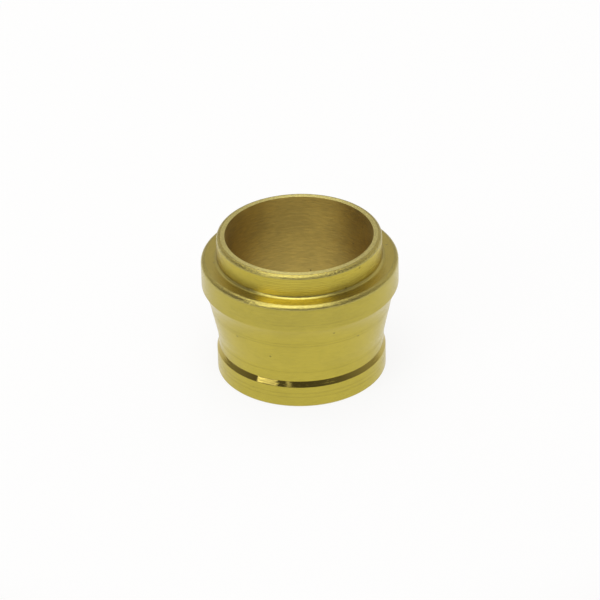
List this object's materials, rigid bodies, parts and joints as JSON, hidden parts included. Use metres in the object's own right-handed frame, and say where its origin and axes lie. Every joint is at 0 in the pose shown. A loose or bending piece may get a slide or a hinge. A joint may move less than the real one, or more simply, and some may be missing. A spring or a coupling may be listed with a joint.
{
  "type": "compression olive",
  "caption": "Turned brass compression olive: a ring with a plain tube bore, a tapered sealing flank, a flat shoulder for the nut and a short thin collar.",
  "frame": {"origin": "centre of the base of the leading ring, on the tube's axis", "axes": "+Z along the tube's axis, from the leading ring up to the collar; X and Y are free, as the part is turned"},
  "size_m": [0.0202, 0.0202, 0.0154],
  "materials": {
    "turned_brass": "turned, satin"
  },
  "bodies": {
    "root": {"compression_olive": "turned_brass"}
  },
  "joints": []
}
